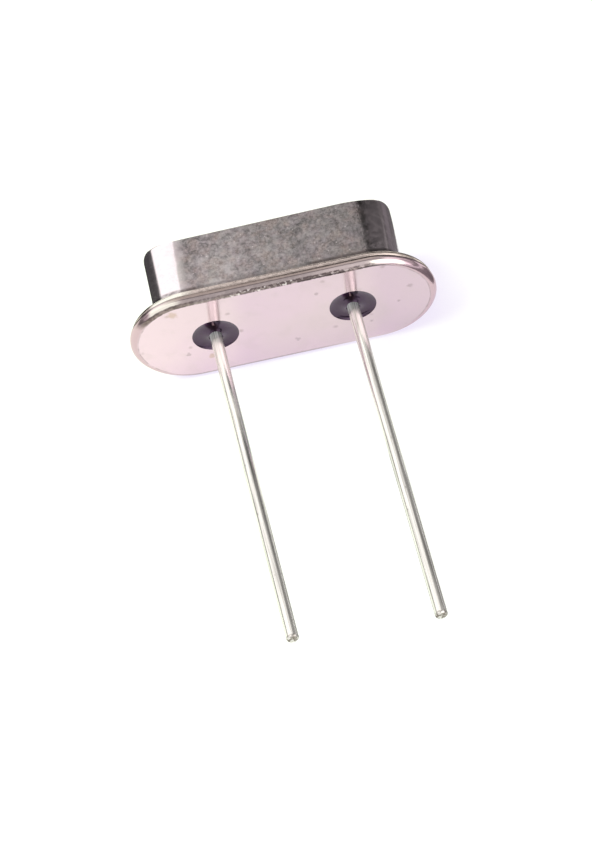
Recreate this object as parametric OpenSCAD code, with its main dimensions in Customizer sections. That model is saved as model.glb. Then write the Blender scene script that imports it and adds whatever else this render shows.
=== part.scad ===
// Low-profile quartz crystal unit with two wire leads.
// A drawn metal can is welded flange to flange on a base plate. Two glass seals carry the
// leads through the plate, and inside, two slotted clips on the leads hold a quartz blank.
// The upright frame of every sub-part has the seating face at Z = 0, the can above it and the
// leads below it. The finished unit lies on its long side, as it comes to rest on a table.

/* [Base plate] */
// Length of the base plate over its round ends
base_l = 10.85; // [10.4:0.05:11.6]
// Width of the base plate
base_w = 4.45; // [4.3:0.05:5]
// Thickness of the base plate's flange
base_t = 0.3; // [0.28:0.01:0.45]
// Radius of the flange's outer edge on the lead side
base_edge_r = 0.18; // [0.05:0.01:0.2]
// Radius of the flange's outer edge on the can side
base_seam_r = 0.05; // [0.02:0.01:0.06]
// Height of the raised plug that stands inside the can
plug_h = 0.55; // [0.3:0.05:0.8]
// Radius of the plug's upper edge
plug_edge_r = 0.08; // [0.02:0.01:0.15]
// Clearance between the plug and the inside of the can
plug_gap = 0.06; // [0.02:0.01:0.15]

/* [Can] */
// Length of the can over its outer walls
can_l = 8.75; // [8.2:0.05:9.2]
// Width of the can over its outer walls
can_w = 3.7; // [3.4:0.05:3.8]
// Height of the crown above the seating face
can_h = 3.15; // [2.95:0.05:3.8]
// Thickness of the sheet that the can is drawn from
sheet_t = 0.24; // [0.15:0.01:0.26]
// Radius of the can's upright corners, outside
can_corner_r = 0.85; // [0.6:0.05:1.2]
// Radius of the crown's edge, outside
crown_r = 0.3; // [0.28:0.01:0.5]
// Radius of the bend from the wall to the flange, outside
foot_r = 0.12; // [0.05:0.01:0.16]
// Distance that the can's flange stands in from the edge of the base plate
flange_inset = 0.04; // [0:0.01:0.08]

/* [Leads and seals] */
// Distance between the two leads
lead_pitch = 4.88; // [4.4:0.02:5]
// Diameter of a lead
lead_d = 0.43; // [0.35:0.01:0.5]
// Reach of the leads below the seating face
lead_reach = 13; // [6:0.5:20]
// Straight length of lead below the seating face before its bend
lead_stub = 0.1; // [0.02:0.02:0.4]
// Radius of the slight bend in each lead, at its centre line
lead_bend_r = 0.8; // [0.5:0.1:1]
// Lean of the left lead from upright, in degrees
left_lean_angle = 3.9; // [0.5:0.1:8]
// Direction in which the left lead leans, in degrees from +X
left_lean_heading_angle = -14; // [-180:1:180]
// Lean of the right lead from upright, in degrees
right_lean_angle = 4.2; // [0.5:0.1:8]
// Direction in which the right lead leans, in degrees from +X
right_lean_heading_angle = 16; // [-180:1:180]
// Radius of the rounded edge at the cut end of a lead
lead_tip_r = 0.08; // [0.02:0.01:0.12]
// Diameter of the flattened head on the inner end of a lead
head_d = 0.85; // [0.6:0.05:1.2]
// Thickness of that head
head_t = 0.15; // [0.08:0.01:0.3]
// Diameter of a glass seal
seal_d = 1.65; // [1.3:0.05:1.9]
// Depth of the glass below the seating face, between its two menisci
seal_dish = 0.09; // [0.07:0.01:0.15]
// Radius of the meniscus that climbs a lead
seal_lead_r = 0.08; // [0.04:0.01:0.12]
// Radius of the meniscus that climbs the plate's hole
seal_wall_r = 0.05; // [0.02:0.01:0.12]

/* [Resonator mount] */
// Thickness of a clip's strip
clip_t = 0.1; // [0.06:0.01:0.15]
// Width of the foot that is welded on the lead's head
clip_foot_w = 1; // [0.6:0.05:1.4]
// Length of the foot behind the lead's centre line
clip_heel = 0.45; // [0.3:0.05:0.8]
// Inner radius of the bend between the foot and the upright plate
clip_bend_r = 0.08; // [0.04:0.01:0.2]
// Width of the upright plate's cheek on each side of its slot
clip_cheek = 0.26; // [0.15:0.01:0.35]
// Height of the strip that closes the slot above the blank
clip_bridge = 0.27; // [0.15:0.01:0.5]
// Width of the relief slot low in the upright plate
relief_w = 0.5; // [0.3:0.05:0.8]
// Height of that relief slot
relief_h = 0.2; // [0.1:0.01:0.22]
// Clearance round the blank and its electrodes in the slot
blank_gap = 0.04; // [0.02:0.01:0.06]
// Clearance between the cement and the end of the can
end_gap = 0.275; // [0.1:0.005:0.5]
// Cement beyond the end of the blank
cement_cover = 0.21; // [0.15:0.01:0.3]

/* [Quartz blank] */
// Width of the blank
blank_w = 1.8; // [1.4:0.05:2]
// Thickness of the blank, which sets its frequency
blank_t = 0.17; // [0.1:0.01:0.3]
// Length of the blank's end that stands out through its slot
blank_end = 0.15; // [0.05:0.01:0.2]
// Height of the blank's middle above the clips' feet
blank_z = 0.75; // [0.68:0.01:0.9]
// Length of an electrode's pad
pad_l = 3.6; // [2:0.1:5]
// Bare edge of quartz on each side of the pad
pad_margin = 0.25; // [0.1:0.01:0.4]
// Width of the tab that runs from the pad to one end of the blank
tab_w = 0.45; // [0.2:0.05:0.6]
// Thickness of an electrode
film_t = 0.02; // [0.01:0.005:0.02]

/* [Quality] */
// Facets of a full circle in the preview
$fn = 96; // [48:8:160]

/* [Hidden] */
left = -1;
right = 1;
bite = 1; // extra length on tools that cut right through

lead_r = lead_d / 2;
seal_r = seal_d / 2;
lead_x = lead_pitch / 2;
deck_z = base_t + plug_h; // upper face of the plug, level with the glass
cup_h = can_h - base_t; // height of the can above its flange's underside
flange_l = base_l - 2 * flange_inset;
flange_w = base_w - 2 * flange_inset;
plug_inset = sheet_t + plug_gap;
foot_z = deck_z + head_t; // underside of the clips' feet, on the leads' heads
cement_r = blank_end + cement_cover;
plate_x = can_l / 2 - sheet_t - end_gap - cement_r; // outer face of a clip's upright plate
slot_w = blank_w + 2 * blank_gap;
slot_h = blank_t + 2 * film_t + 2 * blank_gap;
blank_l = 2 * (plate_x + blank_end);
blank_mid_z = foot_z + blank_z;
pad_w = blank_w - 2 * pad_margin;

// The unit rests on the base plate's seam edge and on the crown's edge. Both are arcs in the
// section across its width, and the tilt is that of the line that touches both of them.
seam_arc = [base_w / 2 - base_seam_r, base_t - base_seam_r];
crown_arc = [can_w / 2 - crown_r, can_h - crown_r];
arc_step = crown_arc - seam_arc;
rest_tilt = acos((crown_r - base_seam_r) / norm(arc_step)) - atan2(arc_step[1], -arc_step[0]);

// Turns the upright unit onto its long side, with its leads towards -Y and slightly raised.
module lay_down()
    rotate([-(90 + rest_tilt), 0, 0])
        children();

// Quarter disc or quarter ring about the origin, in the quadrant that the signs name.
module quarter(r_out, r_in, sx, sy)
    intersection() {
        difference() {
            circle(r_out);
            if (r_in > 0)
                circle(r_in);
        }
        translate([sx < 0 ? -r_out : 0, sy < 0 ? -r_out : 0])
            square(r_out);
    }

// What a rounded edge of radius r leaves out of a square corner at the origin.
module spandrel(r)
    difference() {
        square(r);
        translate([r, r])
            circle(r);
    }

// Half section of a plate: reach from its middle, thickness t, and edge radii below and above.
module plate_section(reach, t, r_low, r_high)
    difference() {
        square([reach, t]);
        if (r_low > 0)
            translate([reach, 0])
                mirror([1, 0])
                    spandrel(r_low);
        if (r_high > 0)
            translate([reach, t])
                rotate(180)
                    spandrel(r_high);
    }

// Carries a half section round an outline with straight sides and round ends.
module round_ended(l, w) {
    for (side = [0, 180])
        rotate(side) {
            translate([(l - w) / 2, 0, 0])
                rotate(-90)
                    rotate_extrude(angle = 180)
                        children();
            translate([-(l - w) / 2, 0, 0])
                rotate([90, 0, 90])
                    linear_extrude(l - w)
                        children();
        }
}

// Carries a section round a rectangle with corner radius r. The section's X is measured
// outwards from the centre of the corner.
module round_cornered(l, w, r) {
    long_run = l - 2 * r;
    short_run = w - 2 * r;
    for (side = [0, 180])
        rotate(side) {
            translate([-long_run / 2, short_run / 2, 0])
                rotate([90, 0, 90])
                    linear_extrude(long_run)
                        children();
            translate([long_run / 2, short_run / 2, 0])
                rotate([90, 0, 0])
                    linear_extrude(short_run)
                        children();
            for (end = [0, 1])
                translate([(1 - 2 * end) * long_run / 2, short_run / 2, 0])
                    rotate(90 * end)
                        rotate_extrude(angle = 90)
                            children();
        }
}

module rounded_rectangle(l, w, r) {
    square([l, w - 2 * r], center = true);
    square([l - 2 * r, w], center = true);
    for (sx = [-1, 1], sy = [-1, 1])
        translate([sx * (l / 2 - r), sy * (w / 2 - r)])
            circle(r);
}

// Section through the can's wall: sheet of one thickness that turns out into the flange
// below and in to the crown above.
module can_section() {
    translate([can_corner_r + foot_r, sheet_t + foot_r])
        quarter(foot_r + sheet_t, foot_r, -1, -1);
    translate([can_corner_r - sheet_t, sheet_t + foot_r])
        square([sheet_t, cup_h - crown_r - sheet_t - foot_r]);
    translate([can_corner_r - crown_r, cup_h - crown_r])
        quarter(crown_r, crown_r - sheet_t, 1, 1);
    translate([0, cup_h - sheet_t])
        square([can_corner_r - crown_r, sheet_t]);
}

module can()
    color([0.62, 0.6, 0.57])
        lay_down()
            translate([0, 0, base_t]) {
                round_cornered(can_l, can_w, can_corner_r)
                    can_section();
                translate([0, 0, cup_h - sheet_t])
                    linear_extrude(sheet_t)
                        square([can_l - 2 * can_corner_r, can_w - 2 * can_corner_r], center = true);
                difference() {
                    round_ended(flange_l, flange_w)
                        plate_section(flange_w / 2, sheet_t, sheet_t / 2, sheet_t / 2);
                    translate([0, 0, -bite])
                        linear_extrude(sheet_t + 2 * bite)
                            rounded_rectangle(can_l + 2 * foot_r, can_w + 2 * foot_r, can_corner_r + foot_r);
                }
            }

module base_plate() {
    plug_l = can_l - 2 * plug_inset;
    plug_w = can_w - 2 * plug_inset;
    plug_r = can_corner_r - plug_inset;
    color([0.85, 0.82, 0.82])
        lay_down()
            difference() {
                union() {
                    round_ended(base_l, base_w)
                        plate_section(base_w / 2, base_t, base_edge_r, base_seam_r);
                    translate([0, 0, base_t]) {
                        round_cornered(plug_l, plug_w, plug_r)
                            plate_section(plug_r, plug_h, 0, plug_edge_r);
                        linear_extrude(plug_h)
                            square([plug_l - 2 * plug_r, plug_w - 2 * plug_r], center = true);
                    }
                }
                for (side = [left, right])
                    translate([side * lead_x, 0, -bite])
                        cylinder(h = deck_z + 2 * bite, r = seal_r);
            }
}

// Glass bead that fills its hole, dished on the lead side with a meniscus at each wall.
module seal(side)
    color([0.1, 0.08, 0.13])
        lay_down()
            translate([side * lead_x, 0, 0])
                rotate_extrude() {
                    translate([lead_r, seal_dish])
                        square([seal_r - lead_r, deck_z - seal_dish]);
                    translate([lead_r, seal_dish])
                        mirror([0, 1])
                            spandrel(seal_lead_r);
                    translate([seal_r, seal_dish])
                        rotate(180)
                            spandrel(seal_wall_r);
                }

// Round wire with a flattened head inside, straight through the glass, then bent once. The
// bend turns about a centre beside the wire, and the run below it is turned about it too.
module lead(side, lean, heading) {
    bend_end_z = -lead_stub - lead_bend_r * sin(lean);
    run = (lead_reach + bend_end_z) / cos(lean);
    color([0.75, 0.74, 0.72])
        lay_down()
            translate([side * lead_x, 0, 0]) {
                translate([0, 0, deck_z])
                    cylinder(h = head_t, d = head_d);
                translate([0, 0, -lead_stub])
                    cylinder(h = lead_stub + deck_z + head_t / 2, r = lead_r);
                rotate(heading)
                    translate([lead_bend_r, 0, -lead_stub]) {
                        rotate([-90, 0, 180])
                            rotate_extrude(angle = lean)
                                translate([lead_bend_r, 0])
                                    circle(lead_r);
                        rotate([0, -lean, 0])
                            translate([-lead_bend_r, 0, 0])
                                rotate([180, 0, 0])
                                    rotate_extrude()
                                        plate_section(lead_r, run, 0, lead_tip_r);
                    }
            }
}

// Bent strip with its foot on the lead's head and a slotted upright plate for the blank.
module clip(side) {
    bend_out = clip_bend_r + clip_t;
    plate_w = slot_w + 2 * clip_cheek;
    plate_top = blank_z + slot_h / 2 + clip_bridge;
    color([0.7, 0.68, 0.6])
        lay_down()
            rotate(side == left ? 180 : 0)
                translate([0, 0, foot_z]) {
                    translate([lead_x - clip_heel, -clip_foot_w / 2, 0])
                        cube([plate_x - bend_out - lead_x + clip_heel, clip_foot_w, clip_t]);
                    translate([plate_x - bend_out, clip_foot_w / 2, bend_out])
                        rotate([90, 0, 0])
                            linear_extrude(clip_foot_w)
                                quarter(bend_out, clip_bend_r, 1, -1);
                    difference() {
                        translate([plate_x - clip_t, -plate_w / 2, bend_out])
                            cube([clip_t, plate_w, plate_top - bend_out]);
                        translate([plate_x, 0, blank_z])
                            cube([bite, slot_w, slot_h], center = true);
                        translate([plate_x, 0, bend_out + relief_h])
                            cube([bite, relief_w, relief_h], center = true);
                    }
                }
}

module blank_solid()
    translate([0, 0, blank_mid_z])
        cube([blank_l, blank_w, blank_t], center = true);

module quartz_blank()
    color([0.85, 0.87, 0.88, 0.6])
        lay_down()
            blank_solid();

// Pad with a tab to the end of the blank that its side names.
module electrode_solid(side)
    translate([0, 0, side == left ? blank_mid_z + blank_t / 2 : blank_mid_z - blank_t / 2 - film_t])
        linear_extrude(film_t)
            union() {
                square([pad_l, pad_w], center = true);
                translate([side * blank_l / 4, 0])
                    square([blank_l / 2, tab_w], center = true);
            }

module electrode(side)
    color([0.9, 0.9, 0.92])
        lay_down()
            electrode_solid(side);

// Half dome of conductive cement on the plate's outer face, round the end of the blank.
module cement(side)
    color([0.45, 0.45, 0.47])
        lay_down()
            difference() {
                translate([side * plate_x, 0, blank_mid_z])
                    intersection() {
                        sphere(cement_r);
                        translate([side * cement_r, 0, 0])
                            cube(2 * cement_r, center = true);
                    }
                blank_solid();
                electrode_solid(side);
            }

can();
base_plate();
seal(left);  // seal_left
seal(right);  // seal_right
lead(left, left_lean_angle, left_lean_heading_angle);  // lead_left
lead(right, right_lean_angle, right_lean_heading_angle);  // lead_right
clip(left);  // clip_left
clip(right);  // clip_right
quartz_blank();
electrode(left);  // electrode_top
electrode(right);  // electrode_bottom
cement(left);  // cement_left
cement(right);  // cement_right
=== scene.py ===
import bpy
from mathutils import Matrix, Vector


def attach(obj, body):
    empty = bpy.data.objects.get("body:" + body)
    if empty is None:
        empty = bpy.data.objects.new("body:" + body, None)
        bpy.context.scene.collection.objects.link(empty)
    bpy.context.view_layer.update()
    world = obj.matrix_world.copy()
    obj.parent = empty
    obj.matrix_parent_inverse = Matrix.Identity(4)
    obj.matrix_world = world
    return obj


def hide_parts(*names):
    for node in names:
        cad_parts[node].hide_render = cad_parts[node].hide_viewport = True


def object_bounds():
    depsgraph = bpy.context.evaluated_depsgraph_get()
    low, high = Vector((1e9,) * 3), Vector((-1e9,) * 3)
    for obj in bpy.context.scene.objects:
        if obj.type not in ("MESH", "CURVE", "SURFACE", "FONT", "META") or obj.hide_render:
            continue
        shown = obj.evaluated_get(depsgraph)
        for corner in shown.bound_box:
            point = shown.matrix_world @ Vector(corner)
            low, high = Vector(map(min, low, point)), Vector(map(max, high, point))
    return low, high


bl_info = {
    "name": "Quartz crystal unit",
    "version": (1, 0, 0),
    "blender": (4, 5, 0),
    "location": "View3D > Sidebar > Crystal unit",
    "description": "Dresses the frame of a quartz crystal unit: drawn can, base plate, seals and leads",
    "category": "Add Mesh",
}

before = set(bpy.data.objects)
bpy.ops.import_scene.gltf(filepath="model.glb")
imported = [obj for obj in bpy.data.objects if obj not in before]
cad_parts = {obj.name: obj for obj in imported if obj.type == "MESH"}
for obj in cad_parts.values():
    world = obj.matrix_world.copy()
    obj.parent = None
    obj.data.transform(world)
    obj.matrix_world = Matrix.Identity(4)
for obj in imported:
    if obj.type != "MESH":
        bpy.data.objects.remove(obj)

import math

import bmesh
import bpy
import numpy as np
from bpy.props import FloatProperty, FloatVectorProperty, PointerProperty
from mathutils import Matrix, Vector

CAD_BOX = [list(corner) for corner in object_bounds()]
MM = 0.001
LEFT, RIGHT = -1, 1
SIDE_NAMES = {LEFT: "left", RIGHT: "right"}


def number(name, description, default, **more):
    return FloatProperty(name=name, description=description, default=default, **more)


def length(name, description, millimetres):
    """A length that is shown in the scene's units and kept in metres."""
    return number(name, description, millimetres * MM, unit="LENGTH", subtype="DISTANCE", precision=6)


def angle(name, description, degrees):
    return number(name, description, math.radians(degrees), unit="ROTATION", subtype="ANGLE")


def share(name, description, value):
    return number(name, description, value, min=0.0, max=1.0, subtype="FACTOR")


def colour(name, description, rgb):
    return FloatVectorProperty(
        name=name, description=description, default=rgb, subtype="COLOR", size=3, min=0.0, max=1.0
    )


def settings(*names):
    return [getattr(bpy.context.scene, "crystal_" + name) for name in names]


# ---------------------------------------------------------------- sizes and colours


class CanSettings(bpy.types.PropertyGroup):
    length: length("Length", "Length of the can over its end walls", 8.75)
    width: length("Width", "Width of the can over its long walls", 3.7)
    height: length("Height", "Height of the crown above the seating face", 3.15)
    sheet: length("Sheet", "Thickness of the sheet that the can is drawn from", 0.24)
    corner_reach: length("Corner reach", "Distance along a wall that a soft upright corner takes", 1.06)
    corner_softness: share("Corner softness", "0 is a true arc, 1 eases fully into the walls", 0.55)
    crown_radius: length("Crown radius", "Outside radius of the crown's edge", 0.3)
    crown_edge: length("Crown edge", "Radius that the press leaves on the crown's visible edge", 0.1)
    foot_radius: length("Foot radius", "Outside radius of the bend into the flange", 0.12)
    flange_inset: length("Flange inset", "Step from the base plate's edge in to the flange's edge", 0.04)
    crown_dome: length("Crown dome", "Height of the slight dome in the crown", 0.012)
    flare: length("Flare", "Outward lean of the end walls, from foot to crown", 0.08)
    lean: length("Lean", "Shift of the crown to the left of the foot", 0.035)
    shoulder: length("Shoulder", "How far the right end wall draws in close to the crown", 0.04)
    settle: length("Settle", "How far the crown's middle lies below its nominal height", 0.04)
    slope: length("Slope", "Fall of the crown from its middle to its left end", 0.05)
    droop: length("Droop", "Extra fall at the right end of the crown", 0.07)
    side_finish: colour("Side finish", "Matt drawn finish of the long walls", (0.368, 0.336, 0.338))
    patch_finish: colour("Patch finish", "Warm patches in the drawn finish", (0.40, 0.336, 0.32))
    end_finish: colour("End finish", "Smooth finish of the corners and the end walls", (0.86, 0.79, 0.83))
    flange_finish: colour("Flange finish", "Warm bright plating of the flange", (0.56, 0.475, 0.45))


class BasePlateSettings(bpy.types.PropertyGroup):
    length: length("Length", "Length over the round ends", 10.85)
    width: length("Width", "Width over the straight edges", 4.45)
    thickness: length("Thickness", "Thickness of the flange", 0.3)
    edge_radius: length("Edge radius", "Height of the rolled edge on the lead side", 0.22)
    edge_reach: length("Edge reach", "Width of that rolled edge, inwards along the seating face", 0.25)
    seam_radius: length("Seam radius", "Edge against the can's flange", 0.05)
    plug_height: length("Plug height", "Height of the plug inside the can", 0.55)
    plug_gap: length("Plug gap", "Clearance from the plug to the can", 0.06)
    plug_edge_radius: length("Plug edge radius", "Upper edge of the plug", 0.08)
    face_finish: colour("Face finish", "Polished seating face, faintly rosy", (0.75, 0.59, 0.675))
    edge_finish: colour("Edge finish", "Duller plating of the rolled edge", (0.45, 0.38, 0.39))
    stain_finish: colour("Stain finish", "Grey pits and specks in the polish", (0.40, 0.31, 0.34))


class SealSettings(bpy.types.PropertyGroup):
    diameter: length("Diameter", "Diameter of a glass seal", 1.65)
    dish: length("Dish", "Depth of the glass below the seating face", 0.09)
    glass: colour("Glass", "Body colour of the opaque slate glass", (0.016, 0.009, 0.020))


class LeadSettings(bpy.types.PropertyGroup):
    pitch: length("Pitch", "Distance between the two leads", 4.88)
    diameter: length("Diameter", "Diameter of a lead", 0.43)
    reach: length("Reach", "Reach of the leads below the seating face", 13.0)
    stub: length("Stub", "Straight wire below the seating face before the bend", 0.1)
    bend_radius: length("Bend radius", "Radius of the slight bend at its centre line", 0.8)
    left_lean: angle("Left lean", "Lean of the left lead from upright", 3.9)
    left_heading: angle("Left heading", "Direction in which the left lead leans", -14.0)
    right_lean: angle("Right lean", "Lean of the right lead from upright", 4.2)
    right_heading: angle("Right heading", "Direction in which the right lead leans", 16.0)
    tip_radius: length("Tip radius", "Rounded edge at the cut end", 0.08)
    head_diameter: length("Head diameter", "Flattened head inside the can", 0.85)
    head_thickness: length("Head thickness", "Thickness of that head", 0.15)
    wire_finish: colour("Wire finish", "Bright tinned wire", (0.85, 0.83, 0.80))


class StageSettings(bpy.types.PropertyGroup):
    floor_glow: colour("Floor glow", "Part of the floor's white that no shadow takes", (0.74, 0.65, 0.885))
    floor_shade: colour("Floor shade", "Share of the floor's white that shadows darken", (0.31, 0.40, 0.16))
    room_fill: share("Room fill", "Even light from all round", 0.6)
    softbox_power: number("Softbox power", "Power of the lamp on the left", 0.055, unit="POWER", precision=5)
    camera_azimuth: angle("Camera azimuth", "Turn of the camera round the unit", 5.6828)
    camera_elevation: angle("Camera elevation", "Height of the camera above the horizon", 62.8664)
    camera_roll: angle("Camera roll", "Lean of the camera's upright towards its right", 17.1447)
    camera_distance: length("Camera distance", "Distance from the camera to its target", 138.9537)
    camera_lens: number("Camera lens", "Focal length for a 36 mm sensor", 170.8185, unit="CAMERA")


# ---------------------------------------------------------------- shapes

# Steps of an outline's corner and of a half of its sides, and finer steps inside each corner's step.
CORNER_STEPS, LONG_STEPS, SHORT_STEPS = 22, 18, 8
SUM_STEPS = 40
# Distances at which points are welded and edges are dropped, in metres, and the crisp angle in degrees.
WELD, EMPTY = 2e-8, 1e-9
CRISP_ANGLE = 35.0


def rest_tilt(can, base):
    """Tilt, beyond a quarter turn, of the line that touches the base plate's seam arc and the crown's arc."""
    step_y = (can.width / 2 - can.crown_radius) - (base.width / 2 - base.seam_radius)
    step_z = (can.height - can.crown_radius) - (base.thickness - base.seam_radius)
    reach = math.acos((can.crown_radius - base.seam_radius) / math.hypot(step_y, step_z))
    return reach - math.atan2(step_z, -step_y)


def laid_down(points):
    """Upright points turned about X by minus a quarter turn and the tilt, so that the unit lies down."""
    tilt = rest_tilt(*settings("can", "base"))
    s, c = math.sin(tilt), math.cos(tilt)
    turn = np.array([[1, 0, 0], [0, -s, c], [0, -c, -s]])
    return points @ turn.T


def held(count, hold=0.02):
    """count + 1 even numbers from 0 to 1, and one more close to each end, to keep a flat flat by a bend."""
    even = np.linspace(0, 1, count + 1)
    return np.concatenate([[0, hold], even[1:-1], [1 - hold, 1]])


def closed_outline(corner, half_long, half_short, end_steps):
    """Outline of a shape that is the same in all four quarters, as points and outward normals.

    corner is the run of x, y, normal x and normal y from the end of the -Y side to the start of the +X side.
    It is mirrored into the other quarters, and straight sides are put between the runs, with their points
    closer together towards the corners, as the sine of a quarter turn. The outline starts at x = 0 on the
    -Y side.
    """
    lead_in = half_long * np.sin(np.pi / 2 * np.arange(LONG_STEPS) / LONG_STEPS)
    quarter = [np.c_[lead_in, np.full((LONG_STEPS, 3), (corner[0, 1], 0, -1))], corner]
    if end_steps:
        rise = -half_short * (1 - np.sin(np.pi / 2 * np.arange(1, end_steps + 1) / end_steps))
        quarter.append(np.c_[np.full(end_steps, corner[-1, 0]), rise, np.full((end_steps, 2), (1, 0))])
    quarter = np.concatenate(quarter)
    half = np.concatenate([quarter, quarter[-2::-1] * [1, -1, 1, -1]])
    whole = np.concatenate([half, half[-2:0:-1] * [-1, 1, -1, 1]])
    return whole[:, :2], whole[:, 2:]


def soft_rectangle(long, wide, reach, softness):
    """Rectangle whose corners ease into its sides.

    The heading along a corner is a quarter turn times t - softness * sin(2 pi t) / (2 pi). Its cosine and
    sine are summed along the corner and scaled to the corner's reach.
    """
    t = np.linspace(0, 1, 1 + SUM_STEPS * CORNER_STEPS)
    heading = np.pi / 2 * (t - softness * np.sin(2 * np.pi * t) / (2 * np.pi))
    way = np.c_[np.cos(heading), np.sin(heading)]
    step = np.diff(t)[:, None] * (way[1:] + way[:-1]) / 2
    run = np.concatenate([np.zeros((1, 2)), np.cumsum(step, axis=0)])
    run *= reach / run[-1]
    start = np.array([long / 2 - reach, -wide / 2])
    corner = np.c_[start + run, np.sin(heading), -np.cos(heading)][::SUM_STEPS]
    return closed_outline(corner, long / 2 - reach, wide / 2 - reach, SHORT_STEPS)


def round_ended(long, wide):
    """Outline with straight sides and half-circle ends, with as many points as soft_rectangle has."""
    turn = np.linspace(0, np.pi / 2, CORNER_STEPS + SHORT_STEPS + 1)
    middle, radius = (long - wide) / 2, wide / 2
    corner = np.c_[middle + radius * np.sin(turn), -radius * np.cos(turn), np.sin(turn), -np.cos(turn)]
    return closed_outline(corner, middle, 0, 0)


def rings(outline, section):
    """A section carried round an outline: the outline moved outwards by its first value, at its second."""
    points, normals = outline
    out, up = np.asarray(section, float).T
    flat = points[None] + out[:, None, None] * normals[None]
    return np.concatenate([flat, np.broadcast_to(up[:, None, None], flat.shape[:2] + (1,))], axis=2)


def turned(section, centre, steps):
    """A section of radius and height turned all the way round an upright axis."""
    turn = np.arange(steps) / steps * 2 * np.pi
    radius, height = np.asarray(section, float).T
    x = centre[0] + radius[:, None] * np.cos(turn)
    y = centre[1] + radius[:, None] * np.sin(turn)
    return np.stack([x, y, np.broadcast_to(height[:, None], x.shape)], axis=2)


def arc(centre, radius, start, end, steps):
    """Points of an arc in the section's plane, from one angle to another, in degrees."""
    t = np.radians(np.linspace(start, end, steps + 1))
    return np.c_[centre[0] + radius * np.cos(t), centre[1] + radius * np.sin(t)]


def blend_rings(first, last, shares):
    """Rings that go straight from one ring to another."""
    s = np.asarray(shares)[:, None, None]
    return first[None] * (1 - s) + last[None] * s


def grid_faces(rows, columns, offset=0):
    """Corner numbers of the quads between the rows of a grid, where each row closes into a ring."""
    r, c = np.meshgrid(np.arange(rows - 1), np.arange(columns), indexing="ij")
    low, high, d = r * columns, (r + 1) * columns, (c + 1) % columns
    return np.stack([low + c, low + d, high + d, high + c], axis=-1).reshape(-1, 4) + offset


def solid_from_sheets(name, sheets, uvs=None):
    """One closed mesh from grids of rings that share their borders.

    The borders are welded, the empty quads at poles become triangles, the faces are turned outwards, and
    edges sharper than the crisp angle stay crisp.
    """
    starts = np.cumsum([0] + [grid.shape[0] * grid.shape[1] for grid in sheets])
    points = laid_down(np.concatenate([grid.reshape(-1, 3) for grid in sheets]))
    quads = np.concatenate([grid_faces(*grid.shape[:2], start) for grid, start in zip(sheets, starts)])
    mesh = bpy.data.meshes.new(name)
    mesh.from_pydata(points.tolist(), [], quads.tolist())
    if uvs is not None:
        layer = mesh.uv_layers.new(name="wire")
        layer.data.foreach_set("uv", uvs[quads.ravel()].astype(np.float32).ravel())
    work = bmesh.new()
    work.from_mesh(mesh)
    bmesh.ops.remove_doubles(work, verts=work.verts, dist=WELD)
    bmesh.ops.dissolve_degenerate(work, edges=work.edges, dist=EMPTY)
    bmesh.ops.recalc_face_normals(work, faces=work.faces)
    loose = [e for e in work.edges if not e.is_manifold]
    if loose:
        raise RuntimeError(f"{name} is open at {len(loose)} edges, such as {loose[0].verts[0].co / MM}")
    work.to_mesh(mesh)
    work.free()
    mesh.polygons.foreach_set("use_smooth", np.ones(len(mesh.polygons), bool))
    mesh.set_sharp_from_angle(angle=math.radians(CRISP_ANGLE))
    mesh.update()
    piece = bpy.data.objects.new(name, mesh)
    bpy.context.scene.collection.objects.link(piece)
    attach(piece, "root")
    return piece


# ---------------------------------------------------------------- node helpers


def arithmetic(kind):
    """Method that joins a value and another number by one kind of arithmetic."""
    return lambda first, second: first.finish.math(kind, first, second)


class Value:
    """A number that varies over a surface: a node's output that takes part in plain arithmetic."""

    __add__, __sub__, __mul__, __truediv__ = map(arithmetic, ("ADD", "SUBTRACT", "MULTIPLY", "DIVIDE"))
    most, least = map(arithmetic, ("MAXIMUM", "MINIMUM"))

    def __init__(self, finish, socket):
        self.finish = finish
        self.socket = socket

    def __rsub__(self, other):
        return self.finish.math("SUBTRACT", other, self)

    def __abs__(self):
        return self.finish.math("ABSOLUTE", self)

    def far(self, other):
        """Distance of the point whose coordinates are this value and the other."""
        return self.finish.math("SQRT", self * self + other * other)

    def ramp(self, low, high, at_low=0.0, at_high=1.0, smooth=True):
        """Goes from at_low to at_high where the value goes from low to high, and stays level beyond."""
        ends = {"Value": self, "From Min": low, "From Max": high, "To Min": at_low, "To Max": at_high}
        made = self.finish.node("MapRange", ends, interpolation_type="SMOOTHSTEP" if smooth else "LINEAR")
        return Value(self.finish, made.outputs["Result"])

    def fall(self, low, high, at_low=1.0):
        """Goes from at_low down to 0 where the value goes from low to high."""
        return self.ramp(low, high, at_low, 0.0)

    def spread(self, at_low=0.0, at_high=1.0):
        """Goes from at_low to at_high over the range that a noise takes."""
        return self.ramp(0.3, 0.7, at_low, at_high)

    def between(self, first, second):
        """The first number where this value is 0, the second where it is 1."""
        made = self.finish.node("Mix", {"Factor": self, 2: first, 3: second}, data_type="FLOAT")
        return Value(self.finish, made.outputs[0])


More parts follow.
